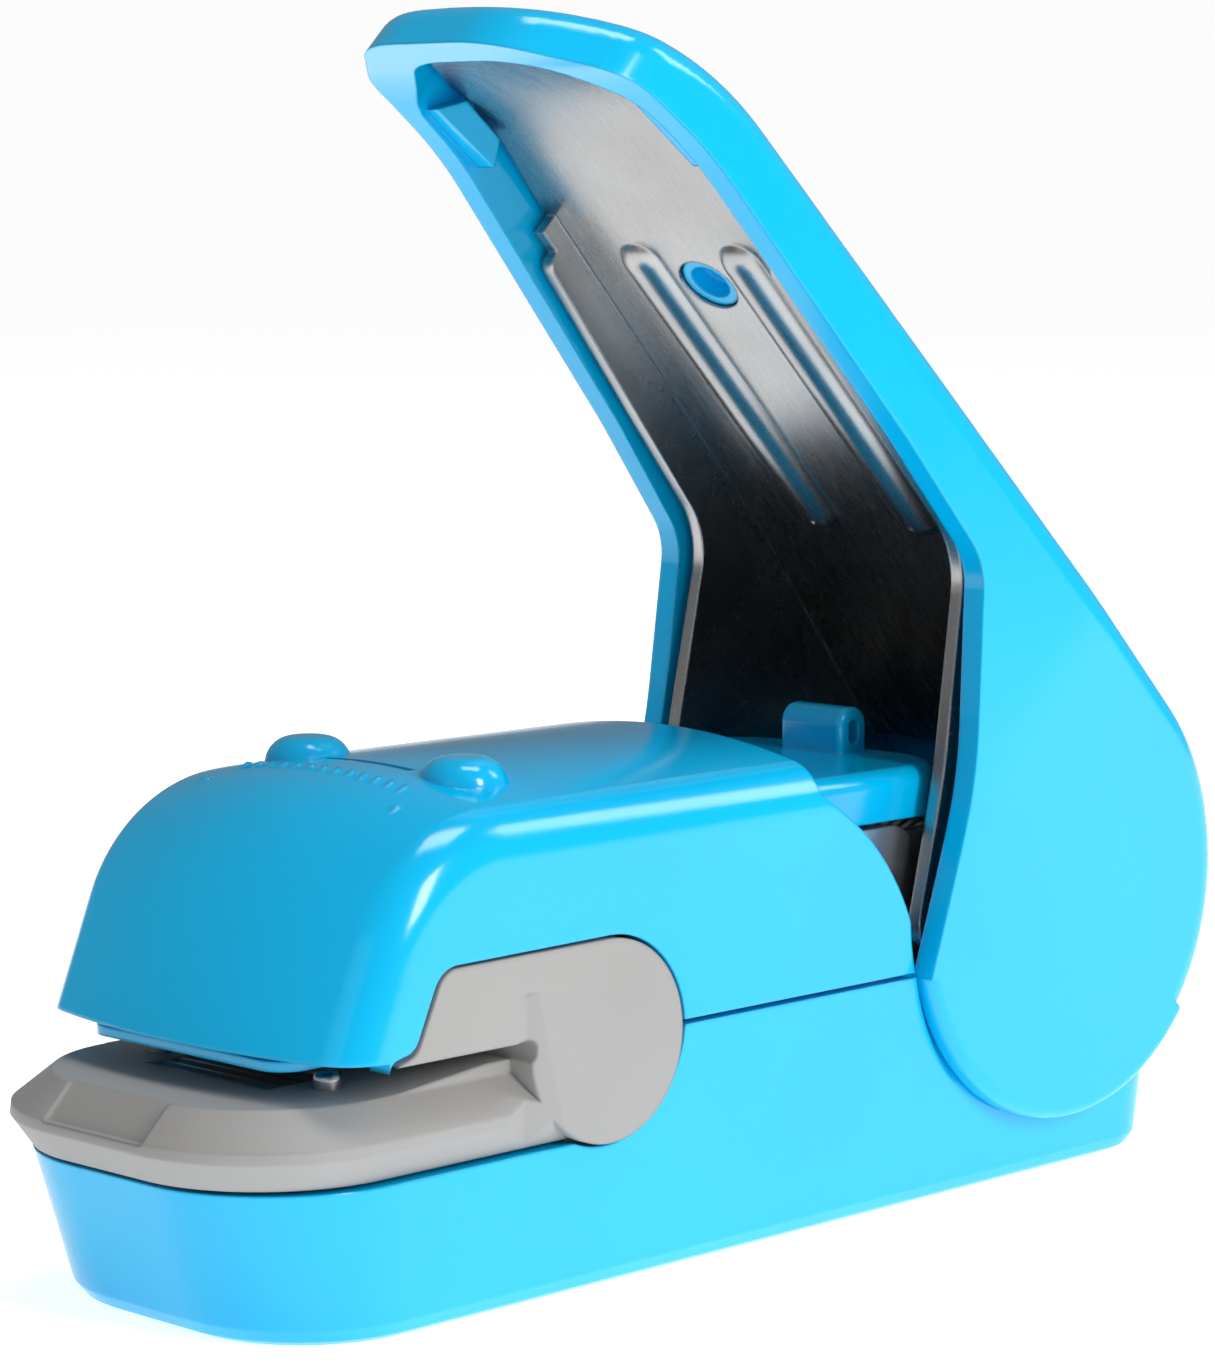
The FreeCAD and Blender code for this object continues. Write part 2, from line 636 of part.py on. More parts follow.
def make_nose_block():
    """Pressure block under the arm, with a flange that shows below the cover."""
    flange = plan_prism("nose_flange", [
        (-9.5, -40.2, 2.0), (9.5, -40.2, 2.0), (9.5, -30.8), (-9.5, -30.8)], D["block_low"], 17.5)
    root = plan_prism("nose_root", [
        (-9.0, -37.6, 1.0), (9.0, -37.6, 1.0), (9.0, -30.8), (-9.0, -30.8)], D["block_low"], 18.4)
    block = fuse("nose_block_body", flange, root)
    window = plan_prism("nose_block_window", [
        (-5.2, -37.4), (5.2, -37.4), (5.2, -33.6), (-5.2, -33.6)], 16.0, 20.0)
    screw = upright_bar("nose_block_bore", 0.0, DIE_SCREW_Y, 0.9, 16.0, 20.0)
    reliefs = [upright_bar("nose_relief_%d" % n, x, POST_Y, 1.25, 16.0, 17.6) for n, x in enumerate(POST_X)]
    return node(cut("nose_block_solid", block, window, screw, *reliefs), "nose_block")


# ---------------------------------------------------------------- covers

def crowned_section(sketch, top, radius, half, bottom):
    """Arched outline, flat below, centred on X = 0."""
    top, radius = size(top), size(radius)
    drop = radius.value - math.sqrt(radius.value ** 2 - half ** 2)
    bottom = size(bottom)
    ends = [(-half, top.value - drop), (half, top.value - drop)]
    arc = Part.Arc(FreeCAD.Vector(ends[1][0], ends[1][1], 0), FreeCAD.Vector(0, top.value, 0),
                   FreeCAD.Vector(ends[0][0], ends[0][1], 0))
    low_left = (-half, bottom.value)
    low_right = (half, bottom.value)
    crown = sketch.addGeometry(arc, False)
    right = sketch.addGeometry(line(ends[1], low_right), False)
    base = sketch.addGeometry(line(low_right, low_left), False)
    left = sketch.addGeometry(line(low_left, ends[0]), False)
    sketch.addConstraint(Sketcher.Constraint("Coincident", crown, 1, right, 1))
    sketch.addConstraint(Sketcher.Constraint("Coincident", right, 2, base, 1))
    sketch.addConstraint(Sketcher.Constraint("Coincident", base, 2, left, 1))
    sketch.addConstraint(Sketcher.Constraint("Coincident", left, 2, crown, 2))
    sketch.addConstraint(Sketcher.Constraint("Vertical", right))
    sketch.addConstraint(Sketcher.Constraint("Vertical", left))
    place_vertex(sketch, base, 1, (half, bottom))
    place_vertex(sketch, base, 2, (-half, bottom))
    bend = sketch.addConstraint(Sketcher.Constraint("Radius", crown, radius.value))
    bind(sketch, "Constraints[%d]" % bend, radius)
    place_vertex(sketch, crown, 3, (0.0, top - radius))


def crown_tool(name, role, start, path, apex, radius):
    """The space outside a crowned skin that follows a path seen from the side."""
    body = new_body(name)
    section = new_sketch(body, role, start)
    crowned_section(section, apex, radius, 24.0, apex + 14.0)
    spine = body.newObject("Sketcher::SketchObject", name + "_spine")
    plane = [item for item in body.Origin.OriginFeatures if item.Role == "YZ_Plane"][0]
    spine.AttachmentSupport = [(plane, "")]
    spine.MapMode = "FlatFace"
    draw_outline(spine, path, closed=False)
    pipe = body.newObject("PartDesign::AdditivePipe", name + "_pipe")
    pipe.Profile = section
    pipe.Spine = spine
    doc.recompute()
    return body


def cover_form(name, inset):
    """Solid of the upper cover, or the space inside it when set in by its wall."""
    half = D["body_half"] - inset
    top = D["crown_z"] - inset
    low = D["parting_z"] + (D["seam"] if inset == 0.0 else -3.0)
    front = -41.6 + 1.08 * inset
    rear_in = 0.0 if inset == 0.0 else 30.0
    block = side_prism(name + "_block", [
        (front - 2.0, low), (front - 2.0, top + 2.0), (2.9 + rear_in, top + 2.0),
        (2.9 + rear_in, 30.1, 1.0), (10.6 + rear_in, 25.0, 18.0), (13.25 + rear_in, low)], half)
    lean = math.tan(math.radians(22.0))
    path = [(40.0, top), (front + lean * (top.value - 17.0), top, 13.0 - inset),
            (front - 4.0 * lean, 13.0)]
    outside = crown_tool(name + "_outside", "XZ_Plane", -40.0, path, top, D["crown_radius"] - inset)
    return cut(name, block, outside)


def make_upper_cover():
    outer = cover_form("cover_outer", 0.0)
    rounded = round_edges("cover_rounded", outer, 3.4, lambda edge: (
        abs(abs(edge.BoundBox.Center.x) - D["body_half"].value) < 0.01
        and edge.BoundBox.ZMax > 18.5 and edge.BoundBox.YMin < 0.0
        and edge.BoundBox.YMax < 3.1))
    inner = cover_form("cover_inner", D["shell"].value)
    hollow = cut("cover_hollow", rounded, inner)
    lip = side_prism("cover_lip_cut", [
        (-36.3, 10.0), (-36.3, 17.75, 0.8), (-34.2, 18.2, 1.4), (-32.0, 23.05, 2.1),
        (D["throat_y"], 23.25), (D["throat_y"], 10.0)], ACROSS)
    throat = side_disc("cover_throat_cut", D["throat_y"], D["throat_z"], D["disc_radius"] + 0.25, ACROSS)
    brow = side_prism("cover_brow_cut", [
        (-FAR, 10.0), (-FAR, 17.9), (-36.3, 17.75), (-36.3, 10.0)], ACROSS)
    notch = side_disc("cover_notch", D["pin_y"], D["pin_z"], D["lobe_radius"] + 0.35, ACROSS)
    solid = cut("cover_open", hollow, lip, throat, brow, notch)
    dome_radius = 2.9
    dome_foot = 31.4
    dome_top = 34.5
    domes = []
    for side in (-1.0, 1.0):
        dome = new_body("cover_dome_%s" % ("left" if side < 0 else "right"))
        sketch = new_sketch(dome, "XY_Plane", dome_foot)
        draw_circle(sketch, side * 7.4, -22.9, dome_radius)
        add_pad(dome, sketch, dome_top - dome_foot)
        doc.recompute()
        domes.append(round_edges(dome.Name + "_round", dome, 1.9, lambda edge: (
            edge.BoundBox.ZMin > dome_top - 0.1)))
    with_domes = fuse("cover_domed", solid, *domes, *cover_marks())
    groove = side_prism("cover_groove", [
        (-24.7, 33.2), (-24.1, 33.2), (-24.1, 36.0), (-24.7, 36.0)], 4.2)
    return node(cut("upper_cover_solid", with_domes, groove), "upper_cover")


def cover_marks():
    """Row of fine ridges ahead of the domes, with a longer mark beyond each end of it."""
    marks = []
    count = 13
    pitch = 1.25
    for n in range(count):
        x = (n - (count - 1) / 2) * pitch
        lift = D["crown_z"].value - x * x / (2 * D["crown_radius"].value)
        marks.append(side_prism("cover_ridge_%d" % n, [
            (-29.2, lift - 1.2), (-29.2, lift - 0.45), (-27.9, lift + 0.12), (-27.9, lift - 1.2)],
            0.45, start=x - 0.225))
    for n, x in enumerate((-9.3, 8.7)):
        marks.append(side_prism("cover_tick_%d" % n, [
            (-32.7, 29.0), (-32.7, 30.75, 0.2), (-30.0, 32.45, 0.2), (-30.0, 29.0)], 0.6, start=x))
    return marks


def make_tail_cover():
    plan = [(-11.2, 1.0), (11.2, 1.0), (11.2, 22.8, 6.0), (-11.2, 22.8, 6.0)]
    cap = plan_prism("tail_cap", plan, 26.8, 30.3)
    rounded = round_edges("tail_cap_round", cap, 1.2, lambda edge: edge.BoundBox.ZMin > 30.2)
    under = plan_prism("tail_under", [
        (-9.7, -1.0), (9.7, -1.0), (9.7, 21.3, 4.5), (-9.7, 21.3, 4.5)], 25.0, 29.0)
    arm_way = plan_prism("tail_arm_way", [
        (-8.7, 20.0), (8.7, 20.0), (8.7, 30.0), (-8.7, 30.0)], 25.0, 29.0)
    lug_bar = side_prism("tail_lug_bar", [
        (18.3, 29.5), (18.3, 33.5, 1.3), (21.3, 33.5, 1.3), (21.3, 29.5)], 2.9)
    lug = round_edges("tail_lug", lug_bar, 0.5, lambda edge: (
        abs(edge.BoundBox.XLength) < 0.01 and edge.BoundBox.ZMax > 30.5))
    eye = side_prism("tail_lug_eye", [
        (19.3, 30.9, 0.45), (20.3, 30.9, 0.45), (20.3, 32.6, 0.45), (19.3, 32.6, 0.45)], 5.0)
    bars = [plan_prism("tail_bar_%d" % n, [
        (x - 1.6, 9.0), (x + 1.6, 9.0), (x + 1.6, 10.2), (x - 1.6, 10.2)], 30.0, 30.7)
        for n, x in enumerate((-4.5, 4.5))]
    joined = fuse("tail_joined", rounded, lug, *bars)
    return node(cut("tail_cover_solid", joined, under, arm_way, eye), "tail_cover")


# ---------------------------------------------------------------- handle, in its own level frame

def grip_plan(inset, tip_inset):
    """Outline of the handle from above, set in by a wall at the sides and at the tip."""
    wide = D["grip_half"] - inset
    tip = D["grip_length"] - tip_inset
    right = [(wide, 18.9), (wide, -12.0, 60.0), (12.2 - inset, tip * -1.0 + 6.2, 5.0),
             (5.6 - 0.5 * inset, -tip, 7.0)]
    left = [(-size(c[0]),) + tuple(c[1:]) for c in reversed(right)]
    return right + left


def nose_line(top, extra=6.0):
    """Corner and end of a line that runs level and then droops to the tip, at one height."""
    droop = math.radians(60.0)
    radius = D["nose_radius"] - (D["grip_top"] - top)
    reach = D["nose_start"].value + radius.value * math.tan(droop / 2)
    run = radius.value * math.tan(droop / 2) + extra
    return [(-reach, top, radius), (-reach - run * math.cos(droop), size(top).value - run * math.sin(droop))]


def back_path(top):
    """Back of the handle from the side: round the pin, level, then drooping to the tip."""
    return [(top, -9.0), (top, top, top)] + nose_line(top)


RIM = [(-8.2, -14.6), (-14.3, -1.6, 30.0), (-23.7, 9.9, 4.5), (-35.0, 10.95, 30.0), (-61.0, 12.1, 30.0),
       (-69.0, 10.8, 16.0), (-80.0, 5.2)]
CHEEK_TOP = [(30.0, 1.2), (15.0, 1.2), (12.0, 0.0), (0.0, -8.0)]


def make_handle_shell():
    plan = plan_prism("grip_block", grip_plan(0.0, 0.0), -22.0, 19.0)
    outside = crown_tool("grip_outside", "XY_Plane", -9.0, back_path(D["grip_top"]),
                         D["grip_top"], 70.0)
    crowned = cut("grip_crowned", plan, outside)
    shell_side = side_prism("grip_side", RIM + [(-80.0, 30.0), (30.0, 30.0)] + CHEEK_TOP, 30.0)
    body = common("grip_body", crowned, shell_side)
    shoulder = round_edges("grip_shoulder", body, 2.4, lambda edge: is_shoulder(body.Shape, edge))
    inner_top = D["lever_top"] + 0.05
    inner_side = side_prism("grip_hollow_side", [
        (inner_top, -30.0), (inner_top, inner_top, inner_top)] + nose_line(inner_top, 14.0)
        + [(-90.0, -30.0)], 30.0)
    inner_plan = plan_prism("grip_hollow_plan", grip_plan(D["grip_wall"].value, 3.2), -30.0, 30.0)
    hollow = common("grip_hollow", inner_side, inner_plan)
    shell = cut("grip_shell", shoulder, hollow)
    cheek = side_disc("grip_lobe", 0.0, 0.0, D["lobe_radius"], D["grip_wall"] - 0.1, start=14.5)
    cheek_front = side_prism("grip_lobe_front", [
        RIM[0]] + CHEEK_TOP[::-1] + [(30.0, -30.0), (-8.2, -30.0)], 30.0)
    lobe = common("grip_lobe_trimmed", cheek, cheek_front)
    rounded_lobe = round_edges("grip_lobe_round", lobe, 0.9, lambda edge: (
        edge.BoundBox.XMin > 16.0 and edge.Curve.TypeId == "Part::GeomCircle"
        and edge.Curve.Radius > 10))
    pin = side_disc("grip_pin_bore", 0.0, 0.0, D["pin_radius"] + D["running"], 15.25)
    whole = fuse("grip_joined", shell, rounded_lobe, mirrored("grip_lobe_far", rounded_lobe))
    boss = upright_bar("grip_boss", 0.0, -45.2, 2.2, 15.5, 17.4)
    boss_bore = upright_bar("grip_boss_bore", 0.0, -45.2, 1.5, 15.0, 16.9)
    tab = side_prism("grip_tab", [
        (-65.5, 11.9), (-59.0, 12.9), (-60.0, 14.6), (-64.0, 14.2)], 2.1, start=9.3)
    tabs = [tab, mirrored("grip_tab_far", tab)]
    bossed = fuse("grip_bossed", whole, boss, *nose_ribs(), *tabs)
    return node(tilt_with_handle(cut("handle_shell_solid", bossed, pin, boss_bore)), "handle_shell")


def nose_ribs():
    """Two stiffening ribs beside the steel in each front corner of the handle's nose."""
    space = rib_space()
    ribs = []
    for n, y in enumerate((-67.6, -63.4)):
        rib = side_prism("grip_rib_%d" % n, [
            (y - 0.4, 8.0), (y + 0.4, 8.0), (y + 0.4, 20.0), (y - 0.4, 20.0)], 1.5, start=9.6)
        inside = common("grip_rib_fitted_%d" % n, rib, space)
        ribs += [inside, mirrored("grip_rib_far_%d" % n, inside)]
    return ribs


def rib_space():
    """Room for the ribs: below the back's inner face and above the rim."""
    roof = [(-50.0, 11.9), (-50.0, 16.3)] + nose_line(16.3)
    floor = [(-80.0, 7.0), (-69.0, 11.6, 16.0), (-61.0, 12.9, 30.0)]
    return side_prism("grip_rib_space", roof + floor, 30.0)


def is_shoulder(shape, edge):
    """True for an edge between the crowned back and an upright side wall."""
    middle = edge.valueAt((edge.FirstParameter + edge.LastParameter) / 2)
    wall = False
    crown = False
    for face in shape.ancestorsOfType(edge, Part.Face):
        normal = face.normalAt(*face.Surface.parameter(middle))
        upright = abs(normal.z) < 1e-4 and abs(normal.x) > 0.02
        wall = wall or upright
        crown = crown or (not upright and 0.015 < abs(normal.x) < 0.5)
    return (wall and crown) or (abs(middle.x) < 2.0 and middle.y < -76.0 and middle.z > 8.5)


def lever_bead(x):
    """Pressed stiffening bead on the underside of the web: a bar with ball ends."""
    radius = 2.0
    height = D["lever_top"] - D["lever_sheet"] - 1.1 + radius
    front, rear = -47.5, -21.5
    bar = doc.addObject("Part::Cylinder", "bead_bar")
    bar.Placement = FreeCAD.Placement(
        FreeCAD.Vector(x, front, height.value), FreeCAD.Rotation(FreeCAD.Vector(1, 0, 0), -90))
    bind(bar, "Radius", radius)
    bind(bar, "Height", rear - front)
    bind(bar, ".Placement.Base.z", height)
    ends = []
    for y in (front, rear):
        ball = doc.addObject("Part::Sphere", "bead_end")
        ball.Placement.Base = FreeCAD.Vector(x, y, height.value)
        bind(ball, "Radius", radius)
        bind(ball, ".Placement.Base.z", height)
        ends.append(ball)
    return fuse("bead", bar, *ends)


def lever_plan(half_rear, half_front, tip_half, tip):
    """Plan of the lever's channel, wider over the hinge and narrower in the nose."""
    right = [(half_rear, 20.0), (half_rear, -13.0, 60.0), (half_front, -52.0), (tip_half, -66.0, 5.0),
             (tip_half - 4.0, -tip, 6.0)]
    return right + [(-c[0],) + tuple(c[1:]) for c in reversed(right)]


def make_lever():
    """Folded steel channel: a web under the handle's back, with a flange down each side."""
    blank = plan_prism("lever_block", lever_plan(13.4, 11.1, 9.2, 71.5), -20.0, 20.0)
    top = D["lever_top"]
    inner = top - D["lever_sheet"]
    side = side_prism("lever_side", [
        (-8.6, -12.2, 3.0), (-14.9, -1.4, 30.0), (-23.3, 10.9, 6.0), (-50.0, 12.4, 1.0), (-50.0, 13.6),
        (-58.0, 13.6), (-76.0, 2.0), (-82.0, 2.0)] + nose_line(top, 8.0)[::-1]
        + [(-18.0, top, 8.0), (1.5, 14.3, 5.0), (9.0, 6.0, 6.0), (9.0, -8.0, 6.0)], ACROSS)
    under = side_prism("lever_under", [
        (12.0, -30.0), (12.0, 12.7), (0.0, 13.1), (-18.0, inner, 8.0)] + nose_line(inner, 14.0)
        + [(-90.0, -30.0)], ACROSS)
    gap = plan_prism("lever_gap", [
        (12.4, 24.0), (12.4, -13.0, 60.0), (10.1, -52.0), (20.0, -52.0), (20.0, -90.0), (-20.0, -90.0),
        (-20.0, -52.0), (-10.1, -52.0), (-12.4, -13.0, 60.0), (-12.4, 24.0)], -30.0, 30.0)
    folded = cut("lever_folded", common("lever_blank", blank, side), common("lever_inside", under, gap))
    above = side_prism("lever_above", [(-FAR, top), (0.0, top), (0.0, top + 5.0), (-FAR, top + 5.0)], ACROSS)
    beads = [cut("lever_bead_%d" % n, lever_bead(x), above) for n, x in enumerate((-4.7, 4.7))]
    ribbed = fuse("lever_ribbed", folded, *beads)
    hinge = side_disc("lever_hinge_bore", 0.0, 0.0, D["pin_radius"] + D["running"], ACROSS)
    drive = side_disc("lever_drive_bore", *drive_pin_local(), D["drive_radius"], ACROSS)
    hole = upright_bar("lever_hole", 0.0, -45.2, 2.3, 10.0, 20.0)
    return node(tilt_with_handle(cut("lever_solid", ribbed, hinge, drive, hole)), "lever_channel")


def drive_pin_local():
    """Drive pin in the handle's level frame."""
    angle = D["open_angle"] - D["half_stroke"]
    turn = math.radians(angle.value)
    text = "(Sizes.open_angle - Sizes.half_stroke) * 1 deg"
    y = Size(D["drive_reach"].value * math.cos(turn), "(Sizes.drive_reach * cos(%s))" % text)
    z = Size(D["drive_reach"].value * math.sin(turn), "(Sizes.drive_reach * sin(%s))" % text)
    return y, z


# ---------------------------------------------------------------- pins and springs

def make_pins():
    node(side_disc("hinge_pin_solid", D["pin_y"], D["pin_z"], D["pin_radius"], 15.1), "handle_pin")
    node(side_disc("throat_axle_solid", D["throat_y"], D["throat_z"], D["axle_radius"], 11.3), "throat_axle")
    drive = side_disc("drive_pin_solid", *drive_pin_local(), D["drive_radius"], 13.4)
    node(tilt_with_handle(drive), "drive_pin")


def ring(name, y, z, outer, inner, width, start):
    body = new_body(name)
    sketch = new_sketch(body, "YZ_Plane", start)
    draw_circle(sketch, y, z, outer)
    draw_circle(sketch, y, z, inner)
    add_pad(body, sketch, width)
    return body


def make_pin_clips():
    """Open retaining rings on the hinge pin, outside the lever's flanges."""
    clips = []
    for side, start in (("right", 13.5), ("left", -14.1)):
        body = ring("pin_clip_" + side, D["pin_y"], D["pin_z"], 2.7, D["pin_radius"] + 0.02, 0.6, start)
        mouth = new_sketch(body, "YZ_Plane", start + 0.6)
        draw_outline(mouth, [
            (D["pin_y"] - 0.9, D["pin_z"] - 4.0), (D["pin_y"] + 0.9, D["pin_z"] - 4.0),
            (D["pin_y"] + 0.9, D["pin_z"]), (D["pin_y"] - 0.9, D["pin_z"])])
        add_pocket(body, mouth, 0.6)
        clips.append(body)
    return node(group("pin_clip_pair", clips), "pin_clips")


def make_washers():
    hinge = ring("hinge_bush", D["pin_y"], D["pin_z"], 3.2, D["pin_radius"] + D["running"], 0.9, 11.3)
    node(group("hinge_bush_pair", [hinge, mirrored("hinge_bush_far", hinge)]), "hinge_bushes")
    spacer = ring("axle_spacer", D["throat_y"], D["throat_z"], 3.1, D["axle_radius"] + D["running"],
                  1.6, 8.3)
    node(group("axle_spacer_pair", [spacer, mirrored("axle_spacer_far", spacer)]), "axle_spacers")


def make_die_screw():
    """Screw down through the arm's seat into the nose block."""
    head_low = 19.6
    head_height = 1.1
    head_radius = 1.7
    shank_radius = 0.85
    tip = 16.95
    body = new_body("die_screw_body")
    head = new_sketch(body, "XY_Plane", head_low)
    draw_circle(head, 0.0, DIE_SCREW_Y, head_radius)
    add_pad(body, head, head_height)
    shank = new_sketch(body, "XY_Plane", tip)
    draw_circle(shank, 0.0, DIE_SCREW_Y, shank_radius)
    add_pad(body, shank, head_low - tip + 0.05)
    return node(body, "die_screw")


def make_return_spring():
    """Torsion spring: coils round the hinge pin, one leg on the frame's floor and one on the drive pin."""
    wire = D["spring_wire"].value / 2
    coil = D["spring_coil"].value
    lean = 45.3
    pitch = 1.0
    frame_leg = 23.0
    drive_leg = 6.6
    grip = math.degrees(math.acos((coil - D["drive_radius"].value - wire) / D["drive_reach"].value))
    turns = 4 + (lean + 90.0 + D["half_stroke"].value - grip) / 360.0
    length = pitch * turns
    winding = Part.makeHelix(pitch, length, coil).Edges[0]
    start = winding.valueAt(winding.FirstParameter)
    end = winding.valueAt(winding.LastParameter)
    leaving = winding.tangentAt(winding.LastParameter)
    frame_foot = start - winding.tangentAt(winding.FirstParameter) * frame_leg
    lever_foot = end + leaving * drive_leg
    path = Part.Wire([Part.makeLine(frame_foot, start), winding, Part.makeLine(end, lever_foot)])
    section = Part.Wire(Part.Circle(frame_foot, start - frame_foot, wire).toShape())
    spring = doc.addObject("Part::Feature", "return_spring_wire")
    spring.Shape = path.makePipeShell([section], True, True)
    along_pin = FreeCAD.Rotation(FreeCAD.Vector(0, 1, 0), -90)
    leaning = FreeCAD.Rotation(FreeCAD.Vector(1, 0, 0), lean)
    spring.Placement = FreeCAD.Placement(
        FreeCAD.Vector(length / 2, D["pin_y"].value, D["pin_z"].value), leaning.multiply(along_pin))
    bind(spring, ".Placement.Base.y", D["pin_y"])
    bind(spring, ".Placement.Base.z", D["pin_z"])
    return node(spring, "return_spring")


# ---------------------------------------------------------------- build

for make in (make_base_shell, make_base_screws, make_steel_frame, make_jaw_guide, make_guide_posts,
             make_dies, make_seat_screws, make_press_arm, make_nose_block, make_upper_cover,
             make_tail_cover, make_handle_shell, make_lever, make_pins, make_pin_clips, make_washers,
             make_die_screw, make_return_spring):
    make()
doc.recompute()

faults = ["%s: %s" % (item.Name, item.State) for item in doc.Objects
          if "Invalid" in item.State or "Error" in item.State]
faults += ["%s: bad shape" % item.Label for item in nodes
           if item.Shape.isNull() or not item.Shape.isValid()]
if faults:
    raise SystemExit("\n".join(faults))

os.makedirs("parts", exist_ok=True)
for item in nodes:
    item.Shape.exportStep("parts/%s.step" % item.Label)
    print("%-16s %3d solids %9.1f mm3" % (item.Label, len(item.Shape.Solids), item.Shape.Volume))
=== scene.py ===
import json
import math

import bpy
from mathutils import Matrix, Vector

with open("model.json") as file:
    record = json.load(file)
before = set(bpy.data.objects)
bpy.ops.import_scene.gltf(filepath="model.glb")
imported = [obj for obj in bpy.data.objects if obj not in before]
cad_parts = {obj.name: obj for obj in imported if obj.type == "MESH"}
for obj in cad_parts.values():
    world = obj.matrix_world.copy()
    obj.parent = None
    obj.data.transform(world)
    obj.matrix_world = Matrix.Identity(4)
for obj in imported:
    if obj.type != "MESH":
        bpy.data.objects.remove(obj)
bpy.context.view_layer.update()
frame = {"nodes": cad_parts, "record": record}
nodes = frame["nodes"]

# Staple-free press stapler with its handle raised, in metres.
# The CAD nodes keep their shapes: this script gives them their materials, light and view.

WHITE = (1.0, 1.0, 1.0, 1.0)
BEVEL_SAMPLES = 6
PLASTIC_IOR = 1.52
MOTTLE_SCALE = 45.0
GLOSS_SCALE = 320.0
STREAK_SCALE = 260.0
CLOUD_SCALE = 90.0


# ---------------------------------------------------------------- materials

def new_material(name):
    """Empty material with its Principled shader and output."""
    material = bpy.data.materials.new(name)
    material.use_nodes = True
    tree = material.node_tree
    tree.nodes.clear()
    shader = tree.nodes.new("ShaderNodeBsdfPrincipled")
    output = tree.nodes.new("ShaderNodeOutputMaterial")
    tree.links.new(shader.outputs["BSDF"], output.inputs["Surface"])
    return material, tree, shader


def object_coordinates(tree, stretch=(1.0, 1.0, 1.0)):
    """The piece's own coordinates in metres, stretched to run a grain along one axis."""
    coordinates = tree.nodes.new("ShaderNodeTexCoord")
    mapping = tree.nodes.new("ShaderNodeMapping")
    mapping.inputs["Scale"].default_value = stretch
    tree.links.new(coordinates.outputs["Object"], mapping.inputs["Vector"])
    return mapping.outputs["Vector"]


def noise(tree, vector, scale, detail=3.0, roughness=0.5):
    texture = tree.nodes.new("ShaderNodeTexNoise")
    texture.inputs["Scale"].default_value = scale
    texture.inputs["Detail"].default_value = detail
    texture.inputs["Roughness"].default_value = roughness
    tree.links.new(vector, texture.inputs["Vector"])
    return texture.outputs["Fac"]


def ramp(tree, factor, low, high, start=0.3, end=0.7):
    """Blend between two colours as the factor runs from start to end."""
    blend = tree.nodes.new("ShaderNodeValToRGB")
    blend.color_ramp.elements[0].position = start
    blend.color_ramp.elements[0].color = (*low, 1.0)
    blend.color_ramp.elements[1].position = end
    blend.color_ramp.elements[1].color = (*high, 1.0)
    tree.links.new(factor, blend.inputs["Fac"])
    return blend.outputs["Color"]


def spread(tree, factor, low, high):
    """Carry a factor of 0 to 1 to a range of values."""
    mapped = tree.nodes.new("ShaderNodeMapRange")
    mapped.inputs["To Min"].default_value = low
    mapped.inputs["To Max"].default_value = high
    tree.links.new(factor, mapped.inputs["Value"])
    return mapped.outputs["Result"]


def soft_edges(tree, radius):
    """Normals rounded over the edges, as a mould's or a press's edges are."""
    edge = tree.nodes.new("ShaderNodeBevel")
    edge.samples = BEVEL_SAMPLES
    edge.inputs["Radius"].default_value = radius
    return edge.outputs["Normal"]


def bump(tree, height, distance, strength, normal):
    relief = tree.nodes.new("ShaderNodeBump")
    relief.inputs["Distance"].default_value = distance
    relief.inputs["Strength"].default_value = strength
    tree.links.new(height, relief.inputs["Height"])
    tree.links.new(normal, relief.inputs["Normal"])
    return relief.outputs["Normal"]


def moulded_plastic(name, low, high, roughness, grain_scale, grain_depth, edge):
    """Moulded plastic: faint mottling, a fine spark-eroded grain and softly rounded edges."""
    material, tree, shader = new_material(name)
    vector = object_coordinates(tree)
    mottle = noise(tree, vector, MOTTLE_SCALE, 2.0)
    gloss = noise(tree, vector, GLOSS_SCALE, 4.0)
    grain = noise(tree, vector, grain_scale, 2.0)
    relief = bump(tree, grain, grain_depth, 0.25, soft_edges(tree, edge))
    tree.links.new(ramp(tree, mottle, low, high), shader.inputs["Base Color"])
    tree.links.new(spread(tree, gloss, *roughness), shader.inputs["Roughness"])
    tree.links.new(relief, shader.inputs["Normal"])
    shader.inputs["IOR"].default_value = PLASTIC_IOR
    return material


def sheet_steel(name, low, high, roughness, grain, edge, depth=0.00002):
    """Rolled and stamped steel: a drawn grain along one axis and cloudy wear in the plating."""
    material, tree, shader = new_material(name)
    streaks = noise(tree, object_coordinates(tree, grain), STREAK_SCALE, 6.0, 0.65)
    clouds = noise(tree, object_coordinates(tree), CLOUD_SCALE, 3.0)
    relief = bump(tree, streaks, depth, 0.3, soft_edges(tree, edge))
    tree.links.new(ramp(tree, clouds, low, high, 0.25, 0.75), shader.inputs["Base Color"])
    tree.links.new(spread(tree, streaks, *roughness), shader.inputs["Roughness"])
    tree.links.new(relief, shader.inputs["Normal"])
    shader.inputs["Metallic"].default_value = 1.0
    return material


# Plastics: two colours, range of roughness, grain scale, grain depth, edge radius.
PLASTICS = {
    "body_plastic": ((0.0, 0.48, 0.86), (0.0, 0.51, 0.90), (0.12, 0.18), 900.0, 0.000004, 0.0003),
    "jaw_plastic": (
        (0.345, 0.335, 0.325), (0.375, 0.365, 0.355), (0.50, 0.60), 1300.0, 0.00001, 0.0004),
    "bush_plastic": ((0.72, 0.70, 0.64), (0.76, 0.74, 0.68), (0.40, 0.50), 1200.0, 0.00002, 0.0002),
}

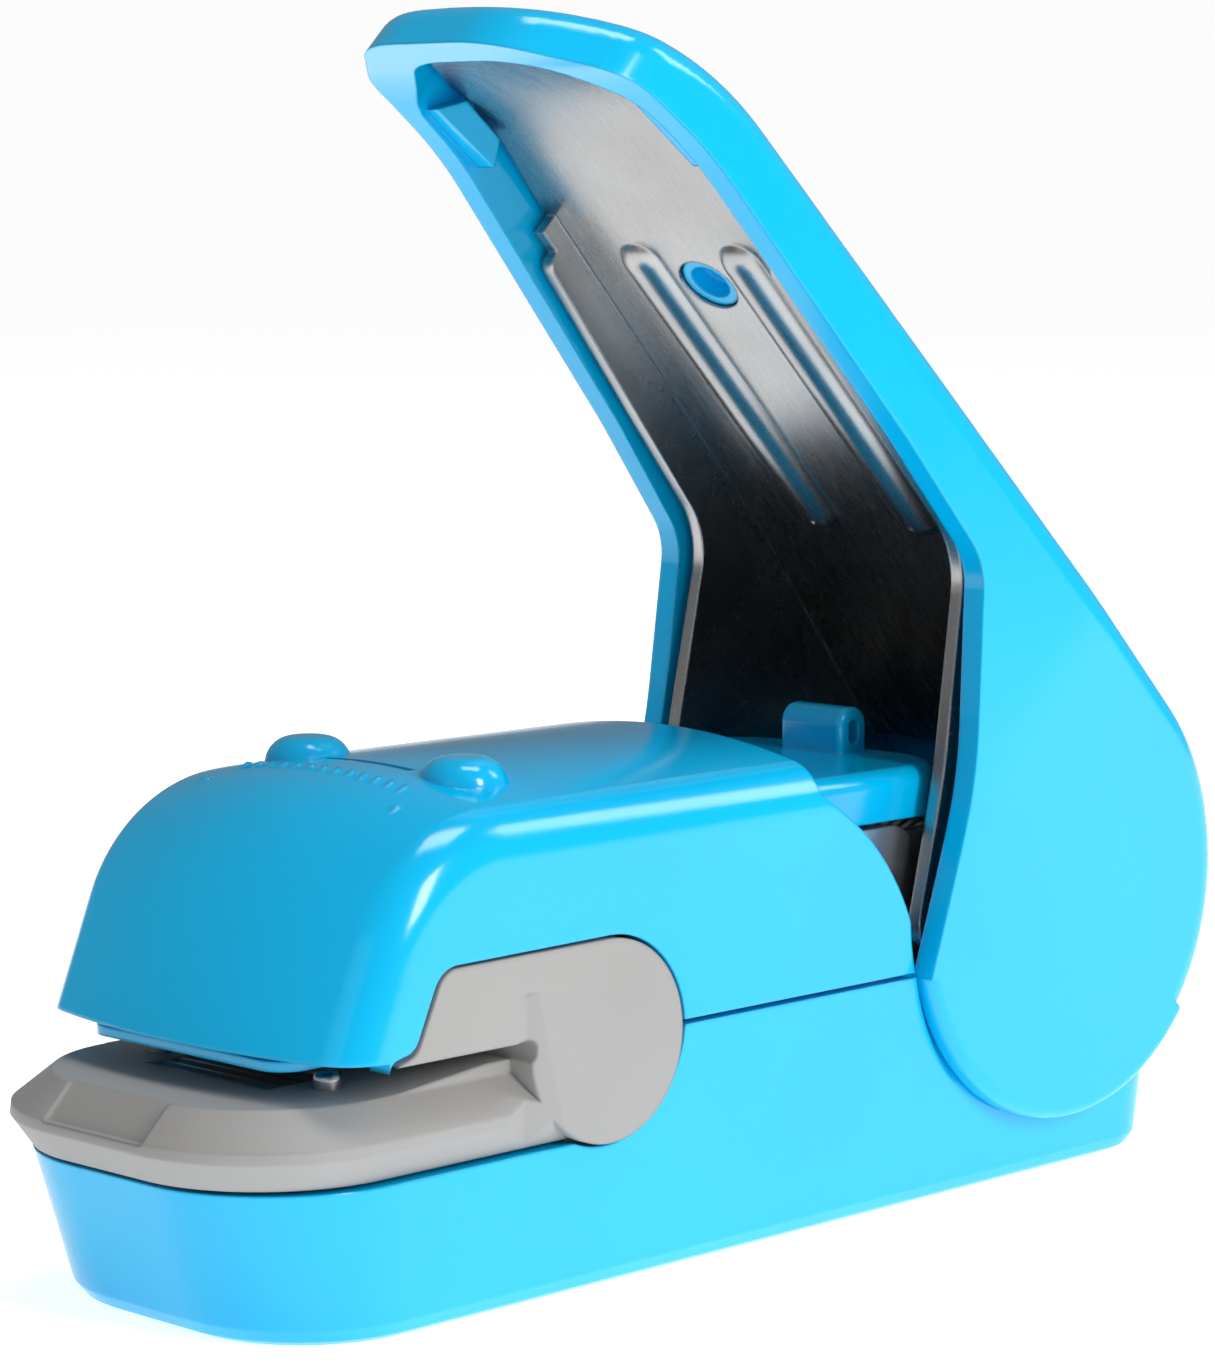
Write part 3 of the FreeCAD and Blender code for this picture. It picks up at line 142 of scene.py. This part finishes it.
# Steels: two colours, range of roughness, stretch of the grain, edge radius.
STEELS = {
    "lever_steel": ((0.40, 0.395, 0.39), (0.50, 0.495, 0.49), (0.20, 0.34), (9.0, 0.6, 0.6), 0.0003),
    "frame_steel": ((0.60, 0.60, 0.61), (0.72, 0.72, 0.73), (0.26, 0.40), (1.0, 0.3, 3.0), 0.0002),
    "die_steel": ((0.30, 0.30, 0.31), (0.42, 0.42, 0.43), (0.28, 0.42), (3.0, 0.5, 0.5), 0.0001),
    "pin_steel": ((0.58, 0.58, 0.59), (0.68, 0.68, 0.69), (0.16, 0.28), (0.4, 3.0, 3.0), 0.0001),
    "screw_steel": ((0.50, 0.51, 0.53), (0.62, 0.63, 0.65), (0.24, 0.36), (1.0, 1.0, 0.4), 0.0001),
    "spring_steel": ((0.24, 0.23, 0.22), (0.34, 0.33, 0.32), (0.30, 0.44), (0.5, 2.0, 2.0), 0.0001),
}

MATERIALS = {name: moulded_plastic(name, *values) for name, values in PLASTICS.items()}
MATERIALS.update({name: sheet_steel(name, *values) for name, values in STEELS.items()})


def dress_nodes():
    """Give every CAD node the material of its slot."""
    for entry in frame["record"]["subparts"]:
        piece = nodes[entry["node"]]
        piece.data.materials.clear()
        piece.data.materials.append(MATERIALS[entry["material_slot"]])


dress_nodes()


# ---------------------------------------------------------------- floor, light and camera

def make_floor():
    """Wide pale sheet, lit a little from itself so that it meets the surround without an edge."""
    half = 6.0
    mesh = bpy.data.meshes.new("floor")
    corners = [(-half, -half, 0), (half, -half, 0), (half, half, 0), (-half, half, 0)]
    mesh.from_pydata(corners, [], [(0, 1, 2, 3)])
    floor = bpy.data.objects.new("floor", mesh)
    bpy.context.scene.collection.objects.link(floor)
    material, tree, shader = new_material("floor_paper")
    paper = noise(tree, object_coordinates(tree), 6.0)
    colour = ramp(tree, paper, (0.78, 0.78, 0.78), (0.80, 0.80, 0.80))
    tree.links.new(colour, shader.inputs["Base Color"])
    shader.inputs["Roughness"].default_value = 0.9
    shader.inputs["Specular IOR Level"].default_value = 0.1
    shader.inputs["Emission Color"].default_value = WHITE
    shader.inputs["Emission Strength"].default_value = 0.80
    mesh.materials.append(material)


def area_light(name, place, size, power):
    """Soft box at a place, turned to the middle of the stapler."""
    target = Vector((0.0, 0.0, 0.03))
    light = bpy.data.lights.new(name, "AREA")
    light.shape = "RECTANGLE"
    light.size, light.size_y = size
    light.energy = power
    lamp = bpy.data.objects.new(name, light)
    lamp.location = place
    lamp.rotation_euler = (target - Vector(place)).to_track_quat("-Z", "Y").to_euler()
    bpy.context.scene.collection.objects.link(lamp)


def make_world():
    """Soft studio surround: pale where the camera sees it, dimmer as a light."""
    world = bpy.data.worlds.new("studio")
    world.use_nodes = True
    tree = world.node_tree
    light = tree.nodes["Background"]
    light.inputs["Color"].default_value = (0.95, 0.97, 1.0, 1.0)
    light.inputs["Strength"].default_value = 0.22
    backdrop = tree.nodes.new("ShaderNodeBackground")
    backdrop.inputs["Color"].default_value = WHITE
    backdrop.inputs["Strength"].default_value = 0.97
    path = tree.nodes.new("ShaderNodeLightPath")
    either = tree.nodes.new("ShaderNodeMixShader")
    tree.links.new(path.outputs["Is Camera Ray"], either.inputs["Fac"])
    tree.links.new(light.outputs["Background"], either.inputs[1])
    tree.links.new(backdrop.outputs["Background"], either.inputs[2])
    tree.links.new(either.outputs["Shader"], tree.nodes["World Output"].inputs["Surface"])
    bpy.context.scene.world = world


def make_lights():
    area_light("key_box", (0.66, 0.02, 0.36), (0.16, 0.34), 2.6)
    area_light("top_box", (0.10, 0.10, 0.74), (0.24, 0.36), 1.9)
    area_light("rear_box", (0.34, 0.60, 0.50), (0.20, 0.30), 1.0)
    area_light("fill_box", (0.10, -0.80, 0.30), (0.5, 0.3), 0.15)


def make_camera():
    """Three-quarter view from the front right, a little above the stapler, through a long lens."""
    azimuth = math.radians(44.5)
    pitch = math.radians(6.62)
    camera = bpy.data.cameras.new("camera")
    camera.sensor_fit = "AUTO"
    camera.sensor_width = 36.0
    camera.lens = 110.66
    camera.clip_start = 0.01
    viewpoint = bpy.data.objects.new("camera", camera)
    viewpoint.location = (0.198427, -0.204241, 0.069779)
    viewpoint.rotation_euler = (math.pi / 2 - pitch, 0.0, azimuth)
    bpy.context.scene.collection.objects.link(viewpoint)
    bpy.context.scene.camera = viewpoint


make_floor()
make_world()
make_lights()
make_camera()
bpy.context.scene.view_settings.view_transform = "Standard"
